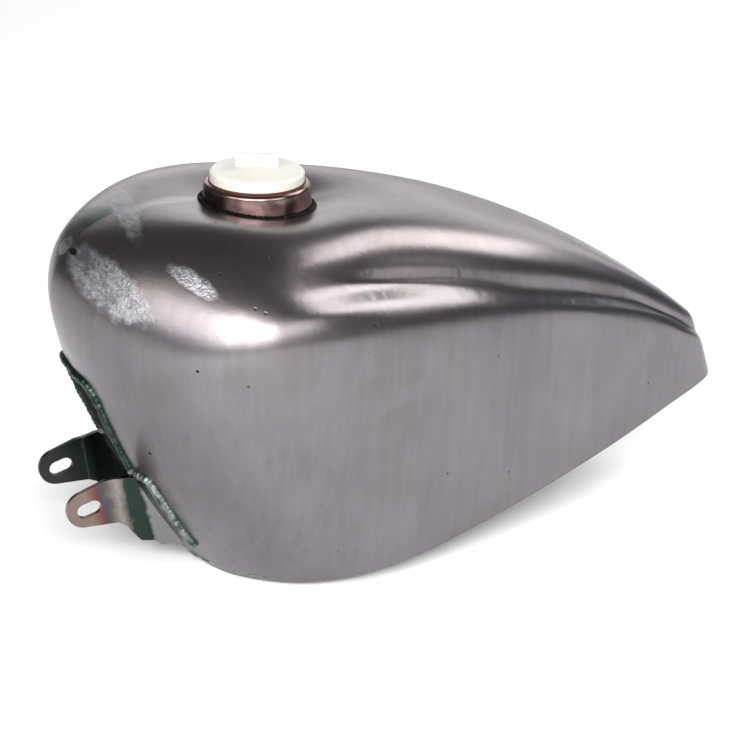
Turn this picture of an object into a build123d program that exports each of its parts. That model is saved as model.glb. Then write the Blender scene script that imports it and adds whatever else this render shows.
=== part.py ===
# Single-tunnel motorcycle fuel tank in bare steel: two pressed half shells, a folded tunnel,
# two floor pans, a filler neck with a push-in plug, slotted front ears and a rear mount plate.
# Millimetres. X runs rearwards, Y to the right, Z up; the origin is on the front bolt axis.
from build123d import *
import math
import os

os.makedirs("parts", exist_ok=True)

# overall size
tank_length = 432.0
tank_width = 260.0
tank_depth = 214.0  # from the crown down to the lower front corner

# side profile: distance back from the nose, depth below the crown
nose_run = 78.0
nose_depth = 47.0
nose_power = 1.9
crown_fall = 113.0
crown_power = 2.5
tail_rake = 15.0  # the tail's lower corner stands this far behind its upper one
corner_run = 68.0
corner_power = 1.6
tail_depth = 151.0
belly = 14.5

# plan shape
taper_start = 83.0
taper_power = 1.1
tail_half = 12.5
tail_round = 9.0
plan_run = 141.0
plan_power = 2.03
tuck = 0.03

# cross section: a wide dome stands on rounded cheeks above nearly flat side panels
dome_depth = 38.0
dome_depth_tail = 10.0
dome_power = 3.2
cheek_ledge = 24.5
cheek_ledge_tail = 7.0
# at the front the cheeks melt into one long sloping shoulder
shoulder_depth = 70.0
shoulder_power = 3.0
shoulder_fall_power = 1.6
panel_depth_front = 78.0
panel_depth = 57.0
panel_depth_tail = 16.0
dish_depth = 14.5
dish_radius = 72.0

# sheet and welds
sheet = 1.5
seam_width = 1.5
floor_recess = 3.0
bead = 2.2
lip_bead = 0.8
lip_bead_width = 3.2

# tunnel for the frame's backbone tube
tunnel_half = 30.0
tunnel_half_mid = 27.0
tunnel_half_tail = 6.5
tunnel_mid = 290.0
tunnel_crown_front = 99.0
tunnel_crown_tail = 137.0
tunnel_round = 12.0
tunnel_round_tail = 5.5

# filler neck and plug
neck_back = 123.0
neck_rim_height = 3.4
neck_rim_radius = 31.0
neck_base_radius = 32.2
neck_lip_radius = 26.4
neck_wall = 1.6
neck_shoulder = 3.0
neck_reach = 16.0
shell_hole_radius = 29.4
braze_width = 1.8
braze_height = 2.4
cam_radius = 24.2
cam_thickness = 1.6
cam_notch = 10.0
plug_radius = 27.4
plug_rim = 5.8
plug_crown = 2.4
plug_edge = 1.2
plug_skin = 2.5
plug_clearance = 0.3
spigot_depth = 13.0
spigot_wall = 2.0
seal_thickness = 0.8
seal_proud = 0.7
grip_length = 26.0
grip_width = 5.0
grip_height = 7.0
grip_turn = -22.0

# front ears
bolt_back = 10.8
bolt_depth = 174.5
ear_spacing = 62.0
ear_thickness = 3.0
ear_radius = 12.0
slot_length = 14.5
slot_width = 8.8
slot_tilt = 18.0
bend_tilt = 8.0
bend_back = 27.0
flare_run = 17.0
flare_out = 5.5
foot_inner = 34.0
foot_outer = 46.0
foot_top = 156.5
foot_bottom = 200.5
foot_reach = 90.0
ear_top = 156.5
ear_bottom = 185.5
bracket_bead = 3.6
bracket_bead_height = 3.2

# rear mount and petcock bung
rear_mount_back = 362.0
rear_mount_length = 30.0
rear_mount_thickness = 4.0
rear_mount_rise = 6.0
rear_bolt_radius = 4.5
rear_weld = 2.2
bung_back = 165.0
bung_side = 74.0
bung_radius = 11.0
bung_bore_radius = 5.6
bung_height = 16.0
bung_drop = 8.0
bung_weld = 2.5

nose_x = -bolt_back
crown_z = bolt_depth
neck_x = nose_x + neck_back
ear_side = ear_spacing / 2
top_run = tank_length - nose_run - tail_rake
far = 2 * tank_length  # reach of cutting tools


def ease(value, start, end):
    t = min(max((value - start) / (end - start), 0), 1)
    return t * t * (3 - 2 * t)


def quarter(value, power, fall_power=None):
    """Rise from 0 to 1 along a quarter of a superellipse."""
    fall_power = fall_power or power
    v = min(max(value, 0), 1)
    return (1 - (1 - v) ** fall_power) ** (1 / power)


def crown_line(back, inset):
    """Depth of the centre line of the top, this far back from the nose."""
    if back < nose_run:
        rise = quarter((back - inset) / (nose_run - inset), nose_power)
        return nose_depth - (nose_depth - inset) * rise
    share = (back - nose_run) / top_run
    slope = crown_fall * crown_power / top_run * share ** (crown_power - 1)
    return crown_fall * share**crown_power + inset * math.hypot(1, slope)


def front_line(depth, inset):
    """How far back the front face lies at this depth."""
    fall = tank_depth - nose_depth
    share = max(depth - nose_depth, 0) / fall
    slope = corner_run * corner_power / fall * share ** (corner_power - 1)
    return corner_run * share**corner_power + inset * math.hypot(1, slope)


def bottom_line(back):
    share = (back - corner_run) / (tank_length - corner_run)
    return tank_depth - (tank_depth - tail_depth) * share + 4 * belly * share * (1 - share)


def shoulder_share(back):
    """1 at the nose, where there is no cheek, falling to 0 a third of the way back."""
    return 1 - ease(back, 0.093 * tank_length, 0.37 * tank_length)


def dome_drop(back):
    rear = (dome_depth_tail - dome_depth) * ease(back, 0.58 * tank_length, tank_length)
    return dome_depth + (shoulder_depth - dome_depth) * shoulder_share(back) + rear


def panel_drop(back):
    rear = (panel_depth_tail - panel_depth) * ease(back, 0.53 * tank_length, 0.95 * tank_length)
    return panel_depth + (panel_depth_front - panel_depth) * shoulder_share(back) + rear


def half_width(back, depth, inset):
    """Half the tank's width at a point of the side view."""
    share = min(max((back - taper_start) / (tank_length - taper_start), 0), 1)
    full = tail_half + (tank_width / 2 - tail_half) * (1 - share**taper_power) - inset
    front = shoulder_share(back)
    thin = (cheek_ledge_tail - cheek_ledge) * ease(back, 0.35 * tank_length, 0.65 * tank_length)
    ledge = (cheek_ledge + thin) * (1 - front)
    drop = depth - crown_line(back, inset)
    dome, panel = dome_drop(back), panel_drop(back)
    cheek_start = dome * (0.55 + 0.4 * ease(back, 0.21 * tank_length, 0.44 * tank_length))
    power = dome_power + (shoulder_power - dome_power) * front
    fall_power = dome_power + (shoulder_fall_power - dome_power) * front
    side = (full - ledge) * quarter(drop / dome, power, fall_power)
    side += ledge * quarter((drop - cheek_start) / (panel - cheek_start), 2)
    run = (back - front_line(depth, inset)) / (plan_run - inset)
    return side * quarter(run, plan_power) * (1 - tuck * max(0, (drop - panel) / 100) ** 1.5)


pole_depth = nose_depth + 0.62 * (tank_depth - nose_depth)


def upper_guide(t):
    """Side-view point on the front face (t < 0), the nose (0 to 1) or the top (1 to 2)."""
    if t < 0:
        depth = nose_depth - (pole_depth - nose_depth) * t
        return front_line(depth, 0), depth
    if t < 1:
        back = nose_run * (1 - math.cos(math.radians(90 * t)))
        return back, crown_line(back, 0)
    back = nose_run + top_run * (t - 1)
    return back, crown_line(back, 0)


def lower_guide(t):
    """Side-view point on the front face (t < 0) or along the bottom edge (0 to 1)."""
    if t < 0:
        depth = tank_depth + (tank_depth - pole_depth) * t
        return front_line(depth, 0), depth
    back = corner_run + (tank_length - corner_run) * t
    return back, bottom_line(back)


def inward_normal(t):
    step = 1e-3
    before, after = upper_guide(t - step), upper_guide(t + step)
    run, fall = after[0] - before[0], after[1] - before[1]
    return -fall / math.hypot(run, fall), run / math.hypot(run, fall)


# each section plane joins a point of the upper guide to one of the lower guide
stations = [(-0.7, -0.65), (-0.35, -0.25), (0, 0.03), (0.35, 0.075), (0.7, 0.14), (1, 0.21)]
stations += [(1.12, 0.28), (1.24, 0.36), (1.38, 0.46), (1.52, 0.57), (1.66, 0.69), (1.8, 0.81)]
stations += [(1.91, 0.91), (1.975, 0.975), (1.986, 0.985), (1.995, 0.994), (1.999, 0.9985)]
# where the section's points fall on the dome, the cheek and the side panel
dome_steps = (0, 0.01, 0.04, 0.16, 0.4, 0.66, 0.85)
cheek_steps = (0.12, 0.34, 0.66, 1)
panel_steps = (0.33, 0.66, 1)
tail_corner = 7.0  # the top of the tail is rounded down by this much


def section(station, inset, skirt):
    """Plane and outline points of one cross section, offset inwards by inset."""
    top_t, low_t = station
    pinch = quarter((1 - low_t) * (tank_length - corner_run) / tail_round, 2)
    pull = inset * ease(low_t, 0.81, 0.97)  # keeps the wall at the tail's end
    top, low = upper_guide(top_t), lower_guide(low_t)
    normal = inward_normal(top_t)
    top = (top[0] + normal[0] * inset - pull, top[1] + normal[1] * inset + tail_corner * (1 - pinch))
    low = (front_line(low[1], inset) + 0.5, low[1]) if low_t < 0 else (low[0] - pull, low[1])
    reach = math.hypot(low[0] - top[0], low[1] - top[1])
    along = ((low[0] - top[0]) / reach, (low[1] - top[1]) / reach)
    shrink = min(1, reach / (0.7 * tank_depth)) if top_t < 0.5 else 1
    dome, panel = dome_drop(top[0]) * shrink, panel_drop(top[0]) * shrink
    if low_t >= 0:
        reach += skirt
    falls = [dome * s for s in dome_steps]
    falls += [dome + (panel - dome) * s for s in cheek_steps]
    falls += [panel + (reach - panel) * s for s in panel_steps]
    points = []
    for fall in falls:
        back, depth = top[0] + along[0] * fall, top[1] + along[1] * fall
        side = 0 if fall == 0 else half_width(back, depth, inset) * pinch
        off_neck = math.hypot(back - neck_back, side) / dish_radius
        sink = dish_depth * max(0, 1 - off_neck**2) ** 2
        points.append((side, -fall - sink))
    upward = Vector(-along[0], 0, along[1])
    origin = (nose_x + top[0], 0, crown_z - top[1])
    return Plane(origin=origin, x_dir=(0, -1, 0), z_dir=Vector(0, -1, 0).cross(upward)), points


def tank_form(inset, skirt=0.0, used=len(stations)):
    """Left half of the tank as one solid, its skin offset inwards by inset."""
    with BuildPart() as form:
        for station in stations[:used]:
            plane, points = section(station, inset, skirt)
            with BuildSketch(plane):
                with BuildLine():
                    Spline(*points)
                    Line(points[-1], (0, points[-1][1]))
                    Line((0, points[-1][1]), points[0])
                make_face()
        loft()
    return form.part


def tunnel_form(grow):
    """The tunnel's section, run past both ends and below the tank, enlarged by grow."""
    slope = (tunnel_crown_tail - tunnel_crown_front) / tank_length
    ends = [
        (-0.1 * tank_length, tunnel_half, tunnel_round),
        (tunnel_mid, tunnel_half_mid, tunnel_round),
        (tank_length + 20, tunnel_half_tail, tunnel_round_tail),
    ]
    with BuildPart() as form:
        for back, half, corner in ends:
            crown = crown_z - tunnel_crown_front - slope * back + grow
            foot = crown_z - 1.3 * tank_depth
            r = corner + grow
            with BuildSketch(Plane.YZ.offset(nose_x + back)):
                with BuildLine():
                    Line((-half - grow, foot), (-half - grow, crown - r))
                    RadiusArc((-half - grow, crown - r), (-half - grow + r, crown), r)
                    Line((-half - grow + r, crown), (half + grow - r, crown))
                    RadiusArc((half + grow - r, crown), (half + grow, crown - r), r)
                    Line((half + grow, crown - r), (half + grow, foot))
                    Line((half + grow, foot), (-half - grow, foot))
                make_face()
        loft(ruled=True)
    return form.part


def floor_band(top_gap, low_gap):
    """Everything between two curves that run parallel to the bottom edge, above it by each gap."""
    backs = [corner_run * 0.4] + [corner_run + (tank_length - corner_run) * i / 6 for i in range(7)]
    backs.append(tank_length + 20)

    def edge(gap):
        return [(nose_x + back, crown_z - bottom_line(back) + gap) for back in backs]

    high, low = edge(top_gap), edge(low_gap)
    with BuildPart() as band:
        with BuildSketch(Plane.XZ):
            with BuildLine():
                Spline(*high)
                Line(high[-1], low[-1])
                Spline(*reversed(low))
                Line(low[0], high[0])
            make_face()
        extrude(amount=tank_width, both=True)
    return band.part


def left_side(gap):
    """A block that holds everything to the left of the centre plane, short of it by gap."""
    with BuildPart() as block:
        with Locations((0, -gap, 0)):
            Box(far, far, far, align=(Align.CENTER, Align.MAX, Align.CENTER))
    return block.part


def neck_tool(radius, low, high):
    """A plug of this radius on the neck's axis, between two heights above the crown."""
    with BuildPart() as tool:
        with Locations((neck_x, 0, crown_z + low)):
            Cylinder(radius, high - low, align=(Align.CENTER, Align.CENTER, Align.MIN))
    return tool.part


def conformal(thickness):
    """Left half of a layer of this thickness that lies on the front of the skin."""
    with BuildPart() as layer:
        add(tank_form(-thickness, used=front_sections))
        add(outer, mode=Mode.SUBTRACT)
    return layer.part


def front_block(side_from, side_to, top, bottom):
    """A block over the left front face, between two sides and two depths."""
    with BuildPart() as block:
        with Locations((nose_x - 20, -side_from, crown_z - bottom)):
            size = (160, side_to - side_from, bottom - top)
            Box(*size, align=(Align.MIN, Align.MAX, Align.MIN))
    return block.part


def write(name, piece):
    piece.label = name
    export_step(piece, f"parts/{name}.step")


def write_pair(name, left_piece):
    """The left piece and its mirror image on the right."""
    write(f"left_{name}", left_piece)
    write(f"right_{name}", mirror(left_piece, about=Plane.XZ, mode=Mode.PRIVATE))


front_sections = 10
outer = tank_form(0)
inner = tank_form(sheet, skirt=14)
tunnel_space = tunnel_form(0)
with BuildPart() as outer_both:
    add(outer)
    mirror(about=Plane.XZ)

# ---- shells: one pressing each side, butted on the centre line ----
with BuildPart() as skin:
    add(outer)
    add(inner, mode=Mode.SUBTRACT)
    add(tunnel_space, mode=Mode.SUBTRACT)
    add(neck_tool(shell_hole_radius, -40, 40), mode=Mode.SUBTRACT)

with BuildPart() as left_shell:
    add(skin.part)
    add(left_side(seam_width / 2), mode=Mode.INTERSECT)
write_pair("shell", left_shell.part)

# ---- weld that joins the shells along the crown, ground flush ----
with BuildPart() as crown_seam:
    add(skin.part)
    add(left_side(seam_width / 2), mode=Mode.SUBTRACT)
    mirror(about=Plane.XZ)
write("crown_seam", crown_seam.part)

# ---- tunnel: a folded channel that closes the middle of the underside ----
with BuildPart() as tunnel:
    add(outer_both.part)
    add(tunnel_space, mode=Mode.INTERSECT)
    add(tunnel_form(-sheet), mode=Mode.SUBTRACT)
write("tunnel", tunnel.part)

# ---- petcock bung: a threaded boss let into the left floor pan ----
bung_place = (nose_x + bung_back, -bung_side)
bung_foot = crown_z - bottom_line(bung_back) + floor_recess - bung_drop
with BuildPart() as petcock_bung:
    with BuildSketch(Plane.XY.offset(bung_foot)):
        with Locations(bung_place):
            Circle(bung_radius)
            Circle(bung_bore_radius, mode=Mode.SUBTRACT)
    extrude(amount=bung_height)
    chamfer(petcock_bung.faces().sort_by(Axis.Z)[0].outer_wire().edges(), 0.8)
write("petcock_bung", petcock_bung.part)

# ---- floor pans: set up inside the shells' lower edges, either side of the tunnel ----
with BuildPart() as floor_pan:
    add(floor_band(floor_recess + sheet, floor_recess))
    add(inner, mode=Mode.INTERSECT)
    add(tunnel_space, mode=Mode.SUBTRACT)
write("right_floor", mirror(floor_pan.part, about=Plane.XZ, mode=Mode.PRIVATE))

with BuildPart() as left_floor:
    add(floor_pan.part)
    with Locations((*bung_place, bung_foot)):
        Cylinder(bung_radius, 3 * bung_height, mode=Mode.SUBTRACT)
write("left_floor", left_floor.part)

# ---- floor welds: a bead round the underside of each pan ----
with BuildPart() as floor_middle:
    add(tank_form(sheet + bead, skirt=14))
    add(tunnel_form(bead), mode=Mode.SUBTRACT)

with BuildPart() as floor_weld:
    add(floor_band(floor_recess, floor_recess - bead))
    add(inner, mode=Mode.INTERSECT)
    add(tunnel_space, mode=Mode.SUBTRACT)
    add(floor_middle.part, mode=Mode.SUBTRACT)
write_pair("floor_weld", floor_weld.part)

# ---- bung weld: a ring under the left pan ----
with BuildPart() as bung_ring:
    add(floor_band(floor_recess, floor_recess - bead))
    with Locations((*bung_place, bung_foot)):
        Cylinder(bung_radius + bung_weld, 3 * bung_height, mode=Mode.INTERSECT)
        Cylinder(bung_radius, 3 * bung_height, mode=Mode.SUBTRACT)
write("bung_weld", bung_ring.part)

# ---- filler neck: a spun collar with a flared skirt that stands on the dished crown ----
rim = neck_rim_height
neck_bore = neck_rim_radius - neck_wall
with BuildPart() as neck_blank:
    with BuildSketch(Plane.XZ):
        with BuildLine():
            shoulder_top = (neck_rim_radius - neck_shoulder, rim)
            shoulder_foot = (neck_rim_radius, rim - neck_shoulder)
            Polyline(
                shoulder_foot,
                (neck_base_radius, rim - neck_reach),
                (neck_base_radius - neck_wall, rim - neck_reach),
                (neck_bore, rim - 2 * neck_shoulder),
                (neck_bore, rim - neck_wall),
                (neck_lip_radius, rim - neck_wall),
                (neck_lip_radius, rim),
                shoulder_top,
            )
            middle = neck_shoulder * (1 - math.sqrt(0.5))
            ThreePointArc(shoulder_top, (neck_rim_radius - middle, rim - middle), shoulder_foot)
        make_face()
    revolve(axis=Axis.Z)
neck_place = Location((neck_x, 0, crown_z))
neck_raw = neck_place * neck_blank.part
with BuildPart() as filler_neck:
    add(neck_raw)
    add(outer_both.part, mode=Mode.SUBTRACT)
write("filler_neck", filler_neck.part)

# ---- bayonet ring: a notched washer fixed under the neck's lip ----
with BuildPart() as bayonet_ring:
    with BuildSketch(Plane((neck_x, 0, crown_z + rim - neck_wall - cam_thickness))):
        Circle(neck_bore)
        Circle(cam_radius, mode=Mode.SUBTRACT)
        Rectangle(cam_notch, 2 * cam_radius + 4.8, mode=Mode.SUBTRACT)
    extrude(amount=cam_thickness)
write("bayonet_ring", bayonet_ring.part)

# ---- braze: a ragged dark ring round the neck's foot ----
with BuildPart() as neck_braze:
    add(conformal(braze_height) & neck_tool(neck_base_radius + braze_width, -40, 0))
    mirror(about=Plane.XZ)
    add(neck_raw, mode=Mode.SUBTRACT)
    add(neck_tool(neck_base_radius - neck_wall, -40, 40), mode=Mode.SUBTRACT)
write("neck_braze", neck_braze.part)

# ---- plug: a moulded push-in closure with a grip bar, on a flat seal ----
seal_top = rim + seal_thickness
with BuildPart() as plug_seal:
    with BuildSketch(Plane((neck_x, 0, crown_z + rim))):
        Circle(plug_radius + seal_proud)
        Circle(cam_radius, mode=Mode.SUBTRACT)
    extrude(amount=seal_thickness)
write("plug_seal", plug_seal.part)

spigot_radius = cam_radius - plug_clearance
disc_top = seal_top + plug_rim
crown_point = (0, disc_top + plug_crown)
crown_edge = (plug_radius - plug_edge, disc_top)
with BuildPart() as filler_plug:
    with BuildSketch(Plane.XZ):
        with BuildLine():
            Polyline(
                crown_edge,
                (plug_radius, disc_top - plug_edge),
                (plug_radius, seal_top),
                (spigot_radius, seal_top),
                (spigot_radius, seal_top - spigot_depth + 1.5),
                (spigot_radius - 1, seal_top - spigot_depth),
                (spigot_radius - spigot_wall, seal_top - spigot_depth),
                (spigot_radius - spigot_wall, disc_top - plug_skin),
                (0, disc_top - plug_skin),
                crown_point,
            )
            ThreePointArc(crown_point, (crown_edge[0] / 2, disc_top + 0.75 * plug_crown), crown_edge)
        make_face()
    revolve(axis=Axis.Z)
    with BuildSketch(Plane.XY.offset(disc_top)):
        RectangleRounded(grip_length, grip_width, 1.6, rotation=grip_turn)
    extrude(amount=plug_crown + grip_height, taper=2)
    fillet(filler_plug.faces().sort_by(Axis.Z)[-1].edges(), 0.8)
write("filler_plug", neck_place * filler_plug.part)

# ---- front brackets: an eared plate flared outwards onto a foot that lies on the skin ----
ear_low = crown_z - ear_bottom
foot_back = nose_x + foot_reach
tip = (-ear_radius - 1.5, 0.4)
brow = (-0.42 * ear_radius, 0.9 * ear_radius)
chin = (-0.2 * ear_radius, ear_low)
with BuildPart() as side_outline:
    with BuildSketch(Plane.XZ):
        with BuildLine():
            Polyline(
                chin,
                (nose_x + bend_back + 1, ear_low),
                (nose_x + bend_back + 6, ear_low - 2.5),
                (nose_x + bend_back + 10, ear_low - 8),
                (nose_x + bend_back + 14, ear_low - 12),
                (nose_x + bend_back + 21, ear_low - 12),
                (nose_x + bend_back + 25, crown_z - foot_bottom),
                (foot_back, crown_z - foot_bottom),
                (foot_back, crown_z - foot_top),
                (nose_x + bend_back + 9, crown_z - foot_top),
                (nose_x + bend_back + 6, crown_z - ear_top),
                (nose_x + bend_back - 7, crown_z - ear_top - 1.5),
                brow,
            )
            ThreePointArc(brow, tip, chin)
        make_face()
    extrude(amount=2 * ear_side, both=True)

# the plate's bend runs down the slope of the front face, so the plan is drawn square to it
slope = math.radians(bend_tilt)
bend_plane = Plane(
    origin=(nose_x + bend_back, -ear_side, 0), x_dir=(math.cos(slope), 0, math.sin(slope)),
    z_dir=(-math.sin(slope), 0, math.cos(slope)),
)
with BuildPart() as bent_plate:
    with BuildSketch(bend_plane):
        with BuildLine():
            Polyline((-60, 0), (0, 0), (flare_run, -flare_out), (2.4 * flare_run, -2 * flare_out))
        trace(line_width=ear_thickness)
    extrude(amount=tank_depth / 3, both=True)

slant = math.radians(slot_tilt)
with BuildPart() as left_bracket:
    add(bent_plate.part)
    add(side_outline.part, mode=Mode.INTERSECT)
    add(front_block(0, foot_outer - 1, foot_top - 12, foot_bottom), mode=Mode.INTERSECT)
    with BuildSketch(Plane.XZ):
        SlotOverall(slot_length, slot_width, rotation=slot_tilt)
    extrude(amount=2 * ear_side, mode=Mode.SUBTRACT)
    add(conformal(ear_thickness) & front_block(foot_inner, foot_outer, foot_top, foot_bottom))
    add(outer, mode=Mode.SUBTRACT)
write_pair("bracket", left_bracket.part)

# ---- bracket welds: a heavy bead round the top and rear of each foot ----
with BuildPart() as bracket_weld:
    grown = front_block(foot_inner - 4, foot_outer + bracket_bead, foot_top - bracket_bead, foot_bottom)
    add(conformal(bracket_bead_height) & grown)
    add(front_block(foot_inner - 4, foot_outer, foot_top, foot_bottom), mode=Mode.SUBTRACT)
    add(left_bracket.part, mode=Mode.SUBTRACT)
write_pair("bracket_weld", bracket_weld.part)

# ---- mouth weld: a low bead over the joint round the tunnel's front mouth ----
with BuildPart() as mouth_weld:
    add(conformal(lip_bead) & tunnel_form(lip_bead_width / 2))
    add(tunnel_form(-lip_bead_width / 2), mode=Mode.SUBTRACT)
    add(front_block(0, 2 * tunnel_half, 0, foot_top - bracket_bead), mode=Mode.INTERSECT)
    add(left_bracket.part, mode=Mode.SUBTRACT)
    mirror(about=Plane.XZ)
write("mouth_weld", mouth_weld.part)

# ---- rear mount: a drilled plate across the tunnel, welded along both sides ----
plate_foot = crown_z - bottom_line(rear_mount_back) + rear_mount_rise
plate_centre = (nose_x + rear_mount_back, 0, plate_foot)
with BuildPart() as rear_mount_plate:
    with Locations(plate_centre):
        size = (rear_mount_length, 2 * tunnel_half, rear_mount_thickness)
        Box(*size, align=(Align.CENTER, Align.CENTER, Align.MIN))
        Cylinder(rear_bolt_radius, 4 * rear_mount_thickness, mode=Mode.SUBTRACT)
    add(tunnel_form(-sheet), mode=Mode.INTERSECT)
write("rear_mount_plate", rear_mount_plate.part)

with BuildPart() as rear_mount_weld:
    with Locations((plate_centre[0], 0, plate_foot)):
        size = (rear_mount_length, 2 * tunnel_half, rear_weld)
        Box(*size, align=(Align.CENTER, Align.CENTER, Align.MAX))
    add(tunnel_form(-sheet), mode=Mode.INTERSECT)
    add(tunnel_form(-sheet - rear_weld), mode=Mode.SUBTRACT)
write("rear_mount_weld", rear_mount_weld.part)
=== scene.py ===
import bpy
import math
from mathutils import Matrix, Vector
from mathutils.bvhtree import BVHTree


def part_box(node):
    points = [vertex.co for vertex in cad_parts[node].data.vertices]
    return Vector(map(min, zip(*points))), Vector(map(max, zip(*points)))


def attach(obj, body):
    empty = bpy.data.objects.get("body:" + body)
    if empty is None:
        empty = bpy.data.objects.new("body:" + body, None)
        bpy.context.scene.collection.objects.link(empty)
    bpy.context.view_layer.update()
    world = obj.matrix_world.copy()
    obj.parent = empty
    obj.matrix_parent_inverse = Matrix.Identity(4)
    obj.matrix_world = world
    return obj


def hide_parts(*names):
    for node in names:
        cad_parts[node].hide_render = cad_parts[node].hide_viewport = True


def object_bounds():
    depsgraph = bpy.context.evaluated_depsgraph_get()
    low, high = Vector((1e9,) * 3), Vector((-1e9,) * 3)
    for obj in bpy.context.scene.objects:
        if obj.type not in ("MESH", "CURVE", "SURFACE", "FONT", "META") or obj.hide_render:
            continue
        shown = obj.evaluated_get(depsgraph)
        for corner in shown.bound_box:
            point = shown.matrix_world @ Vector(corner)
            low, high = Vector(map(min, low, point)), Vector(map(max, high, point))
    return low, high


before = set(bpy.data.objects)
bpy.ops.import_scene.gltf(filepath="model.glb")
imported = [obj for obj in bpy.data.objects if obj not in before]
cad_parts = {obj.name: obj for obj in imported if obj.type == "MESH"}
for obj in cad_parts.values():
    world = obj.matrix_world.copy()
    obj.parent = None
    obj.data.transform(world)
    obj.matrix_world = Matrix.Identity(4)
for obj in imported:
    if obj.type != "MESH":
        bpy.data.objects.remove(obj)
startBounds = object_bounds()
scene = bpy.context.scene
mm = 0.001
print("frame loaded:", len(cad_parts), "CAD nodes")


def hexColour(code, alpha=1.0):
    # sRGB hex to linear
    parts = [int(code[i:i + 2], 16) / 255 for i in (1, 3, 5)]
    return [c / 12.92 if c <= 0.04045 else ((c + 0.055) / 1.055) ** 2.4 for c in parts] + [alpha]


def addNode(tree, kind, settings=None, links=None):
    # settings: properties by name, or inputs by socket name or number; links: input -> output socket
    node = tree.nodes.new(kind)
    for key, value in (settings or {}).items():
        if isinstance(key, str) and hasattr(node, key):
            setattr(node, key, value)
    for key, value in (settings or {}).items():
        if not (isinstance(key, str) and hasattr(node, key)):
            node.inputs[key].default_value = value
    for key, source in (links or {}).items():
        tree.links.new(source, node.inputs[key])
    return node


def newMaterial(name):
    material = bpy.data.materials.new(name)
    material.use_nodes = True
    tree = material.node_tree
    tree.nodes.clear()
    output = addNode(tree, "ShaderNodeOutputMaterial")
    shader = addNode(tree, "ShaderNodeBsdfPrincipled")
    tree.links.new(shader.outputs[0], output.inputs["Surface"])
    return material, tree, shader


def objectPoint(tree):
    return addNode(tree, "ShaderNodeTexCoord").outputs["Object"]


def layMaterial(material, *nodeNames):
    for name in nodeNames:
        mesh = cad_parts[name].data
        mesh.materials.clear()
        mesh.materials.append(material)


def steps(ramp, stops):
    # colour stops of a ramp: (place, value or colour)
    elements = ramp.color_ramp.elements
    while len(elements) > 1:
        elements.remove(elements[-1])
    for i, (place, value) in enumerate(stops):
        element = elements[0] if i == 0 else elements.new(place)
        element.position = place
        element.color = value if isinstance(value, list) else [value, value, value, 1]
    return ramp

# Cold-drawn mild steel sheet, oiled and never painted: a satin grey with a faint violet-brown film,
# long soft draw marks down the sides, small rust pits, and bright sanded patches round the nose.
# Painted light on it: a highlight streak on the crown in front of the neck, and a warm brown reflection
# tint on top.

shellLook = {
    "steel": "#7C7A7F", "film": "#716D6C", "violet": "#746E75", "ground": "#ADADB0", "smudge": "#4C5550",
    "rust": "#4E3828", "mark": "#1B1A19",
    # the warm brown laid on the top by height, from topFrom to topTo, is a painted reflection
    "topReflectionTint": "#7C6E68", "topFrom": 95 * mm, "topTo": 150 * mm, "topShare": 0.35,
    "roughness": 0.29, "groundRoughness": 0.45,
    "filmSize": 55 * mm, "grainSize": 1.4 * mm, "pitSize": 14 * mm, "scratchSize": 0.9 * mm,
}

# sanded patches on the nose: centre and half sizes in mm, turn about X, Y and Z in degrees
groundPatches = {
    "across": {"centre": (33, 0, 168.5), "size": (6.5, 41, 12), "turn": (2, 0, -7)},
    "slope": {"centre": (7, -43, 142), "size": (12, 40, 13), "turn": (14, 0, 16)},
    "crescent": {"centre": (48, -82, 157), "size": (4, 20, 11), "turn": (17, 0, 33)},
    "bright": {"centre": (-2, 4, 150), "size": (6, 7, 6), "turn": (0, 0, 0)},
}
darkMarks = {
    "slit": {"centre": (0, -9, 150), "size": (1.4, 5, 3), "turn": (10, 0, 8)},
    "lowDot": {"centre": (28, -61, 44), "size": (1.2, 1.2, 1), "turn": (0, 0, 0)},
    "highDot": {"centre": (43, -101, 107.5), "size": (1, 1.2, 0.9), "turn": (0, 0, 0)},
}
oilSmudge = {"centre": (17.5, 9, 163), "size": (8.5, 17, 10), "turn": (0, 0, 8)}
# painted highlight: a lighter streak on the crown in front of the neck
paintedCrownHighlight = {"centre": (58, 1, 171), "size": (26, 5, 8), "turn": (0, 0, 18)}


def patchMask(tree, point, patch, wobble, soft):
    # 1 inside a turned ellipsoid, falling to 0 over the soft edge; wobble roughens its outline
    place = addNode(tree, "ShaderNodeMapping", {"vector_type": "TEXTURE"}, {"Vector": point})
    place.inputs["Location"].default_value = [c * mm for c in patch["centre"]]
    place.inputs["Rotation"].default_value = [math.radians(a) for a in patch["turn"]]
    place.inputs["Scale"].default_value = [s * mm for s in patch["size"]]
    reach = addNode(tree, "ShaderNodeVectorMath", {"operation": "LENGTH"}, {0: place.outputs[0]})
    edge = addNode(tree, "ShaderNodeMath", {"operation": "ADD"}, {0: reach.outputs["Value"], 1: wobble})
    fall = addNode(tree, "ShaderNodeMapRange", {"From Min": 1.0 - soft, "From Max": 1.0 + soft,
                                                "To Min": 1.0, "To Max": 0.0}, {"Value": edge.outputs[0]})
    return fall.outputs[0]


def mixColours(tree, factor, first, second, blend="MIX"):
    mix = addNode(tree, "ShaderNodeMix", {"data_type": "RGBA", "blend_type": blend})
    for socket, value in ((mix.inputs[0], factor), (mix.inputs[6], first), (mix.inputs[7], second)):
        if isinstance(value, (float, int, list)):
            socket.default_value = value
        else:
            tree.links.new(value, socket)
    return mix.outputs[2]


def noise(tree, point, size, detail=4.0, rough=0.5, stretch=None, lift=0.0):
    # size is the distance between blotches in metres
    if stretch:
        point = addNode(tree, "ShaderNodeMapping", {"Scale": stretch}, {"Vector": point}).outputs[0]
    return addNode(tree, "ShaderNodeTexNoise",
                   {"Scale": 1 / size, "Detail": detail, "Roughness": rough, "Distortion": lift},
                   {"Vector": point}).outputs["Fac"]


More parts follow.
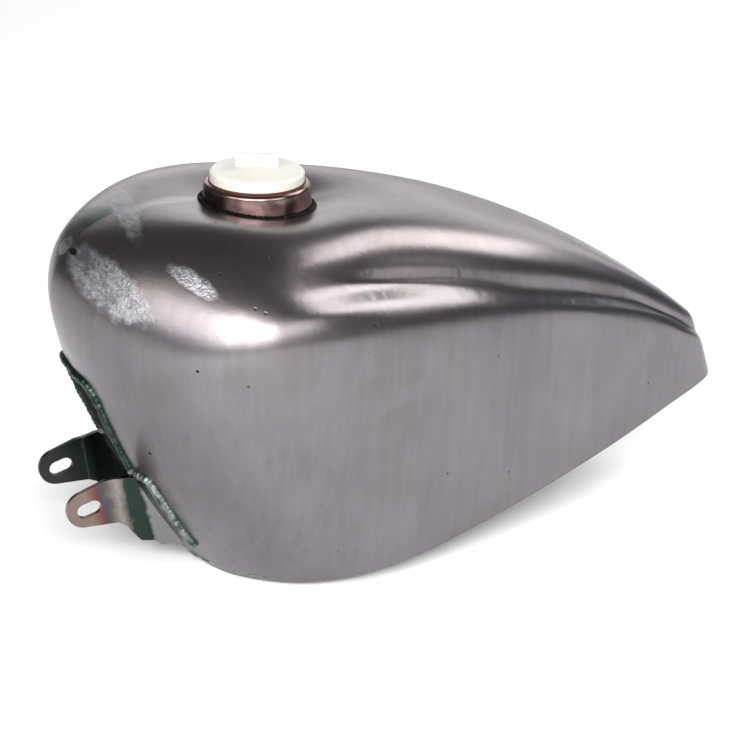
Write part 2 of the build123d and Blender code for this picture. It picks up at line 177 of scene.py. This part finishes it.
def makeShellSteel():
    material, tree, shader = newMaterial("coldDrawnSteelOiled")
    point = objectPoint(tree)
    look = shellLook
    film = noise(tree, point, look["filmSize"], 5, 0.55, lift=0.6)
    blotch = steps(addNode(tree, "ShaderNodeValToRGB", links={"Fac": film}), [(0.34, 0.0), (0.70, 0.8)])
    violet = noise(tree, point, look["filmSize"] * 0.7, 3, 0.5, stretch=(1, 1, 0.6))
    violetMask = steps(addNode(tree, "ShaderNodeValToRGB", links={"Fac": violet}),
                       [(0.45, 0.0), (0.75, 0.8)])
    colour = mixColours(tree, blotch.outputs[0], hexColour(look["steel"]), hexColour(look["film"]))
    colour = mixColours(tree, violetMask.outputs[0], colour, hexColour(look["violet"]))

    # painted reflection: warmer brown towards the top, by height, for the brownish surroundings the steel
    # reflects there
    height = addNode(tree, "ShaderNodeSeparateXYZ", links={0: point}).outputs["Z"]
    top = addNode(tree, "ShaderNodeMapRange",
                  {"From Min": look["topFrom"], "From Max": look["topTo"], "To Max": look["topShare"]},
                  {"Value": height})
    colour = mixColours(tree, top.outputs[0], colour, hexColour(look["topReflectionTint"]))

    # draw marks: faint streaks that run down the sides
    streak = noise(tree, point, 5 * mm, 3, 0.6, stretch=(1, 1, 0.06))
    streakTone = steps(addNode(tree, "ShaderNodeValToRGB", links={"Fac": streak}),
                       [(0.3, 0.90), (0.7, 1.06)])
    colour = mixColours(tree, 0.75, colour, streakTone.outputs[0], "MULTIPLY")

    # rust pits: a few dark brown dots
    pits = addNode(tree, "ShaderNodeTexVoronoi", {"Scale": 1 / look["pitSize"], "Randomness": 1.0},
                   {"Vector": point})
    chosen = noise(tree, point, 38 * mm, 2)
    pitDot = steps(addNode(tree, "ShaderNodeValToRGB", links={"Fac": pits.outputs["Distance"]}),
                   [(0.045, 1.0), (0.085, 0.0)])
    pitArea = steps(addNode(tree, "ShaderNodeValToRGB", links={"Fac": chosen}), [(0.5, 0.0), (0.56, 0.8)])
    pitMask = addNode(tree, "ShaderNodeMath", {"operation": "MULTIPLY"},
                      {0: pitDot.outputs[0], 1: pitArea.outputs[0]}).outputs[0]
    colour = mixColours(tree, pitMask, colour, hexColour(look["rust"]))

    # sanded patches: bright and coarse, with a broken edge
    outline = noise(tree, point, 9 * mm, 4, 0.6)
    wobble = addNode(tree, "ShaderNodeMath", {"operation": "MULTIPLY_ADD", 1: 0.7, 2: -0.35},
                     {0: outline}).outputs[0]
    ground = None
    for patch in groundPatches.values():
        mask = patchMask(tree, point, patch, wobble, 0.16)
        if ground is None:
            ground = mask
        else:
            ground = addNode(tree, "ShaderNodeMath", {"operation": "MAXIMUM"},
                             {0: ground, 1: mask}).outputs[0]
    # the sanding is patchy: streaks of bare metal with film left between them
    left = noise(tree, point, 4 * mm, 4, 0.65, stretch=(1, 0.45, 1))
    bare = addNode(tree, "ShaderNodeMapRange", {"From Min": 0.38, "From Max": 0.62, "To Min": 0.42},
                   {"Value": left})
    ground = addNode(tree, "ShaderNodeMath", {"operation": "MULTIPLY"},
                     {0: ground, 1: bare.outputs[0]}).outputs[0]
    smudge = patchMask(tree, point, oilSmudge, wobble, 0.25)
    # painted highlight on the crown, mixed in at 0.45 with the sanded colour
    highlightMask = patchMask(tree, point, paintedCrownHighlight, wobble, 0.5)
    colour = mixColours(tree, smudge, colour, hexColour(look["smudge"]))
    highlightPart = addNode(tree, "ShaderNodeMath", {"operation": "MULTIPLY", 1: 0.45}, {0: highlightMask}).outputs[0]
    colour = mixColours(tree, highlightPart, colour, hexColour(look["ground"]))
    colour = mixColours(tree, ground, colour, hexColour(look["ground"]))
    for patch in darkMarks.values():
        mark = patchMask(tree, point, patch, wobble, 0.2)
        colour = mixColours(tree, mark, colour, hexColour(look["mark"]))
    tree.links.new(colour, shader.inputs["Base Color"])

    # roughness: the film is duller, the sanding duller still
    filmRough = addNode(tree, "ShaderNodeMapRange",
                        {"To Min": look["roughness"] - 0.05, "To Max": look["roughness"] + 0.09},
                        {"Value": film}).outputs[0]
    rough = addNode(tree, "ShaderNodeMix", {"data_type": "FLOAT"}, {0: ground, 2: filmRough})
    rough.inputs[3].default_value = look["groundRoughness"]
    tree.links.new(rough.outputs[0], shader.inputs["Roughness"])
    shader.inputs["Metallic"].default_value = 1.0

    # relief: press texture everywhere, sanding scratches in the patches, pits sunk
    grain = noise(tree, point, look["grainSize"], 2, 0.6)
    relief = addNode(tree, "ShaderNodeBump", {"Strength": 0.16, "Distance": 0.25 * mm}, {"Height": grain})
    scratch = noise(tree, point, look["scratchSize"], 2, 0.7, stretch=(1, 0.5, 1))
    scratchHeight = addNode(tree, "ShaderNodeMath", {"operation": "MULTIPLY"},
                            {0: scratch, 1: ground}).outputs[0]
    sanding = addNode(tree, "ShaderNodeBump", {"Strength": 0.8, "Distance": 0.5 * mm},
                      {"Height": scratchHeight, "Normal": relief.outputs[0]})
    pitting = addNode(tree, "ShaderNodeBump", {"Strength": 0.5, "Distance": -0.3 * mm},
                      {"Height": pitMask, "Normal": sanding.outputs[0]})
    tree.links.new(pitting.outputs[0], shader.inputs["Normal"])
    return material


shellSteel = makeShellSteel()
layMaterial(shellSteel, "left_shell", "right_shell", "crown_seam")
print("shell steel laid")

# Folded sheet of the tunnel and floors: mill scale left on, so a flat dark grey.
# Spun neck: turned bright, then browned by brazing heat, so glossy and warm.
# Bracket plates: hot-rolled, with straw, brown and blue heat colours where the weld ran, a painted
# highlight along the bend and painted shade on the green strip past it; the far bracket is painted near
# black all over as its shadow.

steelLooks = {
    "millScaleSheet": {
        "colours": ("#55514F", "#3B3836"), "roughness": (0.42, 0.58),
        "blotch": 30 * mm, "grain": 1.2 * mm, "bump": 0.2,
    },
    "spunSteelHeatBrowned": {
        "colours": ("#8A7470", "#5C4746"), "roughness": (0.15, 0.27),
        "blotch": 14 * mm, "grain": 1.0 * mm, "bump": 0.08,
    },
    "weldBeadSteel": {
        "colours": ("#A2A8A3", "#34423B"), "roughness": (0.26, 0.5),
        "blotch": 5 * mm, "grain": 0.8 * mm, "bump": 0.5,
    },
    "weldBeadGreenScale": {
        "colours": ("#43534B", "#161D1A"), "roughness": (0.24, 0.5),
        "blotch": 4 * mm, "grain": 0.8 * mm, "bump": 0.5,
    },
    # near black: partly the braze's own burnt colour, partly painted shadow in the gap round the neck base
    "burntBrazeAndGapShadow": {
        "colours": ("#2A2421", "#0F0D0C"), "roughness": (0.55, 0.85),
        "blotch": 4 * mm, "grain": 0.9 * mm, "bump": 0.9,
    },
    "turnedSteelBung": {
        "colours": ("#9C9A98", "#7E7A76"), "roughness": (0.26, 0.38),
        "blotch": 12 * mm, "grain": 0.8 * mm, "bump": 0.1,
    },
}


def makeSteel(name):
    look = steelLooks[name]
    material, tree, shader = newMaterial(name)
    point = objectPoint(tree)
    tone = noise(tree, point, look["blotch"], 5, 0.6, lift=0.5)
    spread = steps(addNode(tree, "ShaderNodeValToRGB", links={"Fac": tone}),
                   [(0.32, hexColour(look["colours"][0])), (0.68, hexColour(look["colours"][1]))])
    tree.links.new(spread.outputs[0], shader.inputs["Base Color"])
    smoothest, roughest = look["roughness"]
    rough = addNode(tree, "ShaderNodeMapRange",
                    {"From Min": 0.3, "From Max": 0.7, "To Min": smoothest, "To Max": roughest},
                    {"Value": tone})
    tree.links.new(rough.outputs[0], shader.inputs["Roughness"])
    shader.inputs["Metallic"].default_value = 1.0
    grain = noise(tree, point, look["grain"], 3, 0.6)
    relief = addNode(tree, "ShaderNodeBump", {"Strength": look["bump"], "Distance": 0.4 * mm},
                     {"Height": grain})
    tree.links.new(relief.outputs[0], shader.inputs["Normal"])
    return material


steels = {name: makeSteel(name) for name in steelLooks}
layMaterial(steels["millScaleSheet"], "tunnel", "left_floor", "right_floor")
layMaterial(steels["spunSteelHeatBrowned"], "filler_neck", "bayonet_ring")
layMaterial(steels["turnedSteelBung"], "petcock_bung")

# heat colours and painted light: distance along the plate from the bolt's axis (mm), colour; 18 mm is a
# painted highlight on the bend, 23 to 31 mm is the strip's green scale darkened with painted shade
bracketLooks = {
    "plateHeatTintsAndPaintedLight": {
        "nodes": ("left_bracket", "rear_mount_plate"), "roughness": 0.27,
        "tints": ((0, "#80706B"), (3, "#7A6259"), (6.5, "#704840"), (9.5, "#4F4A57"), (12.5, "#5B5652"),
                  (18, "#8D8683"), (21, "#6D6864"), (23, "#2F3B36"), (31, "#2C3833"), (33, "#7B7B7D")),
    },
    "farPlatePaintedShadow": {
        # painted shadow: the far bracket, seen from its inner side in shade, is near black all over
        "nodes": ("right_bracket",), "roughness": 0.34,
        "tints": ((0, "#3A393B"), (8, "#2B2C2E"), (14, "#232A2A"), (18, "#42504B"), (23, "#27332F"),
                  (33, "#3C4541")),
    },
}
tintReach = 50 * mm


def makeBracketSteel(name, look):
    material, tree, shader = newMaterial(name)
    point = objectPoint(tree)
    spread = noise(tree, point, 12 * mm, 4, 0.6, lift=0.8)
    apart = addNode(tree, "ShaderNodeSeparateXYZ", links={0: point})
    waver = addNode(tree, "ShaderNodeMath", {"operation": "MULTIPLY_ADD", 1: 9 * mm, 2: -4.5 * mm},
                    {0: spread})
    broken = addNode(tree, "ShaderNodeMath", {"operation": "ADD"},
                     {0: apart.outputs[0], 1: waver.outputs[0]})
    # the colours lean back with the bend
    along = addNode(tree, "ShaderNodeMath", {"operation": "MULTIPLY_ADD", 1: 0.2},
                    {0: apart.outputs[2], 2: broken.outputs[0]})
    band = addNode(tree, "ShaderNodeMapRange", {"From Max": tintReach}, {"Value": along.outputs[0]})
    tint = steps(addNode(tree, "ShaderNodeValToRGB", links={"Fac": band.outputs[0]}),
                 [(place * mm / tintReach, hexColour(code)) for place, code in look["tints"]])
    tree.links.new(tint.outputs[0], shader.inputs["Base Color"])
    rough = addNode(tree, "ShaderNodeMapRange", {"To Min": look["roughness"] - 0.08,
                                                 "To Max": look["roughness"] + 0.14}, {"Value": spread})
    tree.links.new(rough.outputs[0], shader.inputs["Roughness"])
    shader.inputs["Metallic"].default_value = 1.0
    scale = noise(tree, point, 2.2 * mm, 4, 0.65)
    relief = addNode(tree, "ShaderNodeBump", {"Strength": 0.3, "Distance": 0.4 * mm}, {"Height": scale})
    tree.links.new(relief.outputs[0], shader.inputs["Normal"])
    return material


for name, look in bracketLooks.items():
    layMaterial(makeBracketSteel(name, look), *look["nodes"])
print("steels laid")

# Moulded polyethylene: a waxy warm white that light enters a little way, with a faint dusty bloom.

plugLook = {"white": "#C9C6BF", "dust": "#B4AEA3", "roughness": 0.38}


def makePlugWhite():
    material, tree, shader = newMaterial("mouldedPolyethyleneWhite")
    point = objectPoint(tree)
    dust = noise(tree, point, 9 * mm, 5, 0.6)
    mask = steps(addNode(tree, "ShaderNodeValToRGB", links={"Fac": dust}), [(0.5, 0.0), (0.8, 0.55)])
    colour = mixColours(tree, mask.outputs[0], hexColour(plugLook["white"]), hexColour(plugLook["dust"]))
    tree.links.new(colour, shader.inputs["Base Color"])
    rough = addNode(tree, "ShaderNodeMapRange", {"To Min": plugLook["roughness"] - 0.06,
                                                 "To Max": plugLook["roughness"] + 0.12}, {"Value": dust})
    tree.links.new(rough.outputs[0], shader.inputs["Roughness"])
    shader.inputs["Subsurface Weight"].default_value = 0.25
    shader.inputs["Subsurface Radius"].default_value = (0.004, 0.0035, 0.003)
    shader.inputs["Subsurface Scale"].default_value = 1.0
    shader.inputs["IOR"].default_value = 1.51
    grain = noise(tree, point, 1.6 * mm, 3, 0.6)
    relief = addNode(tree, "ShaderNodeBump", {"Strength": 0.12, "Distance": 0.2 * mm}, {"Height": grain})
    tree.links.new(relief.outputs[0], shader.inputs["Normal"])
    return material


def makeSealRubber():
    # flat-cut nitrile rubber: dull dark red in random blotches
    material, tree, shader = newMaterial("flatCutNitrileRed")
    point = objectPoint(tree)
    tone = noise(tree, point, 3 * mm, 3, 0.6)
    spread = steps(addNode(tree, "ShaderNodeValToRGB", links={"Fac": tone}),
                   [(0.35, hexColour("#5A2018")), (0.7, hexColour("#3A1410"))])
    tree.links.new(spread.outputs[0], shader.inputs["Base Color"])
    shader.inputs["Roughness"].default_value = 0.62
    relief = addNode(tree, "ShaderNodeBump", {"Strength": 0.3, "Distance": 0.1 * mm}, {"Height": tone})
    tree.links.new(relief.outputs[0], shader.inputs["Normal"])
    return material


layMaterial(makePlugWhite(), "filler_plug")
layMaterial(makeSealRubber(), "plug_seal")
print("plug and seal laid")

# One tree sweeps a flattened bead along a seam, with the stacked ripples of a hand-fed torch
# and a slow wander in width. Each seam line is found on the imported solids.

weldLook = {
    "bracket": {"radius": 2.5, "ripple": 3.1, "height": 0.45, "wander": 2.6, "seed": 3.0},
    "mouth": {"radius": 2.3, "ripple": 3.3, "height": 0.4, "wander": 2.2, "seed": 11.0},
    "floor": {"radius": 1.9, "ripple": 2.4, "height": 0.4, "wander": 0.6, "seed": 19.0},
    "bung": {"radius": 2.0, "ripple": 2.2, "height": 0.4, "wander": 0.5, "seed": 23.0},
    "braze": {"radius": 1.9, "ripple": 3.4, "height": 0.4, "wander": 1.0, "seed": 31.0},
}  # sizes in mm
brazeRing, brazeSink = 32.6 * mm, 0.4 * mm
far = 0.3  # rays start this far off


def makeBeadTree():
    tree = bpy.data.node_groups.new("rippledBead", "GeometryNodeTree")
    face = tree.interface
    face.new_socket(name="Seam", in_out="INPUT", socket_type="NodeSocketGeometry")
    for name in ("Radius", "Ripple", "Height", "Wander", "Seed"):
        face.new_socket(name=name, in_out="INPUT", socket_type="NodeSocketFloat")
    face.new_socket(name="Material", in_out="INPUT", socket_type="NodeSocketMaterial")
    face.new_socket(name="Bead", in_out="OUTPUT", socket_type="NodeSocketGeometry")
    given = addNode(tree, "NodeGroupInput").outputs
    curve = addNode(tree, "GeometryNodeMeshToCurve", links={"Mesh": given["Seam"]})
    gap = addNode(tree, "ShaderNodeMath", {"operation": "DIVIDE", 1: 5.0}, {0: given["Ripple"]})
    even = addNode(tree, "GeometryNodeResampleCurve", {"mode": "LENGTH"},
                   {"Curve": curve.outputs[0], "Length": gap.outputs[0]})
    along = addNode(tree, "GeometryNodeSplineParameter").outputs["Length"]
    kept = addNode(tree, "GeometryNodeCaptureAttribute", links={"Geometry": even.outputs[0]})
    kept.capture_items.new("FLOAT", "Along")
    tree.links.new(along, kept.inputs["Along"])
    ring = addNode(tree, "GeometryNodeCurvePrimitiveCircle", {"Resolution": 12},
                   {"Radius": given["Radius"]})
    tube = addNode(tree, "GeometryNodeCurveToMesh", {"Fill Caps": True},
                   {"Curve": kept.outputs["Geometry"], "Profile Curve": ring.outputs["Curve"]})
    # ripples: the top of each one is rounded and the valley between is sharp
    turn = addNode(tree, "ShaderNodeMath", {"operation": "DIVIDE"},
                   {0: kept.outputs["Along"], 1: given["Ripple"]})
    angle = addNode(tree, "ShaderNodeMath", {"operation": "MULTIPLY", 1: math.pi}, {0: turn.outputs[0]})
    wave = addNode(tree, "ShaderNodeMath", {"operation": "SINE"}, {0: angle.outputs[0]})
    hump = addNode(tree, "ShaderNodeMath", {"operation": "ABSOLUTE"}, {0: wave.outputs[0]})
    rise = addNode(tree, "ShaderNodeMath", {"operation": "MULTIPLY"},
                   {0: hump.outputs[0], 1: given["Height"]})
    blob = addNode(tree, "ShaderNodeTexNoise", {"noise_dimensions": "4D", "Scale": 160.0, "Detail": 2.0},
                   {"W": given["Seed"]})
    drift = addNode(tree, "ShaderNodeMath", {"operation": "SUBTRACT", 1: 0.5}, {0: blob.outputs[0]})
    spread = addNode(tree, "ShaderNodeMath", {"operation": "MULTIPLY"},
                     {0: drift.outputs[0], 1: given["Wander"]})
    lift = addNode(tree, "ShaderNodeMath", {"operation": "ADD"},
                   {0: rise.outputs[0], 1: spread.outputs[0]})
    normal = addNode(tree, "GeometryNodeInputNormal").outputs[0]
    push = addNode(tree, "ShaderNodeVectorMath", {"operation": "SCALE"},
                   {0: normal, "Scale": lift.outputs[0]})
    moved = addNode(tree, "GeometryNodeSetPosition",
                    links={"Geometry": tube.outputs[0], "Offset": push.outputs[0]})
    smooth = addNode(tree, "GeometryNodeSetShadeSmooth", links={"Geometry": moved.outputs[0]})
    real = addNode(tree, "GeometryNodeRealizeInstances", links={"Geometry": smooth.outputs[0]})
    coat = addNode(tree, "GeometryNodeSetMaterial",
                   links={"Geometry": real.outputs[0], "Material": given["Material"]})
    tree.links.new(coat.outputs[0], addNode(tree, "NodeGroupOutput").inputs["Bead"])
    return tree


beadTree = makeBeadTree()


def layBead(name, look, seams, material, oldNode):
    # seams: lists of points; one mesh for all of them
    points, edges = [], []
    for seam in seams:
        first = len(points)
        points += seam
        edges += [(first + i, first + i + 1) for i in range(len(seam) - 1)]
        if (Vector(seam[0]) - Vector(seam[-1])).length < 0.1 * mm:
            points.pop()
            edges[-1] = (edges[-1][0], first)
    line = bpy.data.meshes.new(name)
    line.from_pydata([tuple(p) for p in points], edges, [])
    piece = bpy.data.objects.new(name, line)
    scene.collection.objects.link(piece)
    grow = piece.modifiers.new("bead", "NODES")
    grow.node_group = beadTree
    values = {"Radius": look["radius"] * mm, "Ripple": look["ripple"] * mm, "Height": look["height"] * mm,
              "Wander": look["wander"] * mm, "Seed": look["seed"], "Material": material}
    for item in beadTree.interface.items_tree:
        if item.item_type == "SOCKET" and item.in_out == "INPUT" and item.name in values:
            grow[item.identifier] = values[item.name]
    bpy.context.view_layer.update()
    solid = bpy.data.meshes.new_from_object(piece.evaluated_get(bpy.context.evaluated_depsgraph_get()))
    piece.modifiers.remove(grow)
    piece.data = solid
    if not solid.materials:
        solid.materials.append(material)
    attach(piece, "tank")
    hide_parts(oldNode)
    print(name, len(solid.polygons), "faces")


def solidTree(*names):
    # one search tree over several CAD nodes, at rest
    points, faces = [], []
    for name in names:
        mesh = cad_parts[name].data
        first = len(points)
        points += [v.co.copy() for v in mesh.vertices]
        faces += [tuple(first + i for i in p.vertices) for p in mesh.polygons]
    return BVHTree.FromPolygons(points, faces)


shellTree = solidTree("left_shell", "right_shell", "crown_seam")


def ringOnCrown(radius, sink, count=96):
    # a level ring round the neck's axis, dropped onto the crown
    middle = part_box("filler_neck")
    x = (middle[0][0] + middle[1][0]) / 2
    ring = []
    for i in range(count + 1):
        a = 2 * math.pi * i / count
        px, py = x + radius * math.cos(a), radius * math.sin(a)
        hit = shellTree.ray_cast(Vector((px, py, far)), Vector((0, 0, -1)))
        ring.append(Vector((px, py, hit[0].z + sink)))
    ring[-1] = ring[0].copy()
    return ring


def footSeam(side):
    # up the outer edge of the bracket's foot, then inwards along its top
    name = "left_bracket" if side < 0 else "right_bracket"
    low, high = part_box(name + "_weld")
    outer = max(abs(low[1]), abs(high[1])) - 1.6 * mm
    inner = min(abs(low[1]), abs(high[1])) + 1.0 * mm
    top, foot = high[2] - 1.2 * mm, low[2] + 1.0 * mm
    path = [(outer, foot + (top - 3 * mm - foot) * i / 24) for i in range(25)]
    path += [(outer - 1 * mm, top - 1 * mm)]
    path += [(outer - 3 * mm - (outer - 3 * mm - inner) * i / 8, top) for i in range(9)]
    seam = []
    for y, z in path:
        hit = shellTree.ray_cast(Vector((-0.1, side * y, z)), Vector((1, 0, 0)))
        if hit[0]:
            seam.append(hit[0] + hit[1] * 0.6 * mm)
    return seam


def mouthSeam():
    # up one side of the tunnel's mouth, over its rounded top and down the other
    low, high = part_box("mouth_weld")
    half = (high[1] - low[1]) / 2 - 1.6 * mm
    top, foot = high[2] - 1.8 * mm, low[2] + 1.0 * mm
    corner = 11 * mm
    path = [(-half, foot + (top - corner - foot) * i / 16) for i in range(17)]
    path += [(-half + corner * (1 - math.cos(a)), top - corner * (1 - math.sin(a)))
             for a in (math.radians(15 * i) for i in range(1, 7))]
    path += [(y * mm, top) for y in range(-14, 15, 4)]
    path += [(-y, z) for y, z in reversed(path[:23])]
    seam = []
    for y, z in path:
        out = 1.0 + 1.2 * mm / half
        lift = 1.2 * mm if abs(y) < half * 0.9 else 0
        hit = shellTree.ray_cast(Vector((-0.1, y * out, z + lift)), Vector((1, 0, 0)))
        if hit[0] and hit[0].x < high[0] + 12 * mm:
            seam.append(hit[0] + hit[1] * 0.2 * mm)
    return seam


def floorSeam(node, side):
    # round the underside of a floor pan, just inside the shell and the tunnel wall
    low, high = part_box(node)
    tree = solidTree(node)
    below = low[2] - 20 * mm
    inner, outer = [], []
    count = 44
    for i in range(count + 1):
        x = low[0] + 3 * mm + (high[0] - low[0] - 6 * mm) * i / count
        ys = []
        for j in range(220):
            y = j * 0.5 * mm
            hit = tree.ray_cast(Vector((x, side * y, below)), Vector((0, 0, 1)))
            if hit[0]:
                ys.append((y, hit[0].z))
        if len(ys) > 6:
            inner.append(Vector((x, side * (ys[0][0] + 1.1 * mm), ys[0][1] - 0.5 * mm)))
            outer.append(Vector((x, side * (ys[-1][0] - 1.1 * mm), ys[-1][1] - 0.5 * mm)))
    loop = inner + list(reversed(outer))
    return loop + [loop[0].copy()]


def bungSeam():
    # round the bung's foot, on the underside of the floor
    low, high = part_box("petcock_bung")
    x, y = (low[0] + high[0]) / 2, (low[1] + high[1]) / 2
    radius = (high[0] - low[0]) / 2 + 0.9 * mm
    tree = solidTree("left_floor")
    ring = []
    for i in range(61):
        a = 2 * math.pi * i / 60
        px, py = x + radius * math.cos(a), y + radius * math.sin(a)
        hit = tree.ray_cast(Vector((px, py, low[2] - 20 * mm)), Vector((0, 0, 1)))
        ring.append(Vector((px, py, hit[0].z - 0.4 * mm)))
    ring[-1] = ring[0].copy()
    return ring


def rearSeams():
    # along both ends of the rear plate, on the tunnel's walls
    low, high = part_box("rear_mount_weld")
    tree = solidTree("tunnel")
    seams = []
    for side in (-1, 1):
        seam = []
        for i in range(13):
            x = low[0] + 1.5 * mm + (high[0] - low[0] - 3 * mm) * i / 12
            hit = tree.ray_cast(Vector((x, 0, low[2])), Vector((0, side, 0)))
            seam.append(Vector((x, hit[0].y - side * 0.5 * mm, high[2] - 0.5 * mm)))
        seams.append(seam)
    return seams


weldSteel, greenSteel = steels["weldBeadSteel"], steels["weldBeadGreenScale"]
beads = (
    ("neckBraze", "braze", [ringOnCrown(brazeRing, -brazeSink)], steels["burntBrazeAndGapShadow"], "braze",
     "neck_braze"),
    ("leftFootBead", "bracket", [footSeam(-1)], weldSteel, "weld_steel", "left_bracket_weld"),
    ("rightFootBead", "bracket", [footSeam(1)], weldSteel, "weld_steel", "right_bracket_weld"),
    ("mouthBead", "mouth", [mouthSeam()], greenSteel, "weld_steel", "mouth_weld"),
    ("leftFloorBead", "floor", [floorSeam("left_floor", -1)], weldSteel, "weld_steel", "left_floor_weld"),
    ("rightFloorBead", "floor", [floorSeam("right_floor", 1)], weldSteel, "weld_steel", "right_floor_weld"),
    ("bungBead", "bung", [bungSeam()], weldSteel, "weld_steel", "bung_weld"),
    ("rearPlateBeads", "bung", rearSeams(), weldSteel, "weld_steel", "rear_mount_weld"),
)
for name, kind, seams, material, slotName, oldNode in beads:
    layBead(name, weldLook[kind], seams, material, oldNode)
print("welds laid")


stageLook = {
    "floor": "#F9F9F8", "floorPatch": "#F6F6F5", "floorSize": 14.0,
    "backdrop": "#EDEDEC", "worldTop": "#66676B", "worldHorizon": "#5E5F63",
}

# softboxes: direction from the tank, distance, size (m), power (W), seen in the steel or not
softboxes = {
    "frontLeft": {"way": (-0.83, -0.42, 0.46), "distance": 2.1,
        "size": (1.6, 1.0), "power": 22, "inSteel": True},
    "main": {"way": (-0.42, -0.79, 0.46), "distance": 2.1,
        "size": (1.6, 1.0), "power": 56, "inSteel": True},
    "side": {"way": (0.26, -0.86, 0.46), "distance": 2.1,
        "size": (1.6, 1.0), "power": 18, "inSteel": True},
    "right": {"way": (0.74, 0.10, 0.67), "distance": 2.1,
        "size": (1.3, 1.1), "power": 26, "inSteel": True},
    "behind": {"way": (0.40, 0.86, 0.31), "distance": 2.4,
        "size": (3.0, 1.2), "power": 17, "inSteel": True},
    "fill": {"way": (0.0, -0.1, 1.0), "distance": 2.2,
        "size": (2.6, 2.6), "power": 8, "inSteel": False},
}
aim = Vector((0.16, 0.0, 0.07))


def makeFloor():
    low = startBounds[0]
    half = stageLook["floorSize"] / 2
    mesh = bpy.data.meshes.new("floor")
    z = low[2] - 0.0005
    corners = [(-half, -half, z), (half, -half, z), (half, half, z), (-half, half, z)]
    mesh.from_pydata(corners, [], [(0, 1, 2, 3)])
    floor = bpy.data.objects.new("floor", mesh)
    scene.collection.objects.link(floor)
    material, tree, shader = newMaterial("paintedBoardPale")
    tone = noise(tree, objectPoint(tree), 0.4, 3)
    spread = steps(addNode(tree, "ShaderNodeValToRGB", links={"Fac": tone}),
                   [(0.3, hexColour(stageLook["floor"])), (0.7, hexColour(stageLook["floorPatch"]))])
    tree.links.new(spread.outputs[0], shader.inputs["Base Color"])
    shader.inputs["Roughness"].default_value = 0.8
    mesh.materials.append(material)


def makeWorld():
    world = bpy.data.worlds.new("studio")
    scene.world = world
    world.use_nodes = True
    tree = world.node_tree
    tree.nodes.clear()
    way = addNode(tree, "ShaderNodeTexCoord").outputs["Generated"]
    height = addNode(tree, "ShaderNodeSeparateXYZ", links={0: way}).outputs["Z"]
    sky = steps(addNode(tree, "ShaderNodeValToRGB", links={"Fac": height}),
                [(0.0, hexColour(stageLook["worldHorizon"])), (0.8, hexColour(stageLook["worldTop"]))])
    dim = addNode(tree, "ShaderNodeBackground", links={"Color": sky.outputs[0]})
    pale = addNode(tree, "ShaderNodeBackground", {"Color": hexColour(stageLook["backdrop"])})
    direct = addNode(tree, "ShaderNodeLightPath").outputs["Is Camera Ray"]
    either = addNode(tree, "ShaderNodeMixShader",
                     links={0: direct, 1: dim.outputs[0], 2: pale.outputs[0]})
    addNode(tree, "ShaderNodeOutputWorld", links={"Surface": either.outputs[0]})


def addSoftbox(name, box):
    # a rectangular softbox facing the tank, its long side level
    light = bpy.data.lights.new(name, "AREA")
    light.shape = "RECTANGLE"
    light.size, light.size_y = box["size"]
    light.energy = box["power"]
    lamp = bpy.data.objects.new(name, light)
    scene.collection.objects.link(lamp)
    lamp.location = aim + Vector(box["way"]).normalized() * box["distance"]
    lamp.rotation_euler = (aim - lamp.location).to_track_quat("-Z", "Y").to_euler()
    lamp.visible_camera = False
    lamp.visible_glossy = box["inSteel"]


def makeCamera():
    camera = bpy.data.objects.new("camera", bpy.data.cameras.new("camera"))
    scene.collection.objects.link(camera)
    camera.data.lens = 112.2
    camera.data.clip_start = 0.05
    forward = Vector((0.35846, 0.85085, -0.38548)).normalized()
    side = Vector((0.92462, -0.37983, 0.02855))
    side = (side - forward * side.dot(forward)).normalized()
    up = side.cross(forward)
    camera.matrix_world = Matrix.Translation((-0.32066, -1.21097, 0.59468)) @ Matrix(
        (side, up, -forward)).transposed().to_4x4()
    scene.camera = camera


makeFloor()
makeWorld()
for name, box in softboxes.items():
    addSoftbox(name, box)
makeCamera()
scene.view_settings.view_transform = "Standard"
print("stage set")
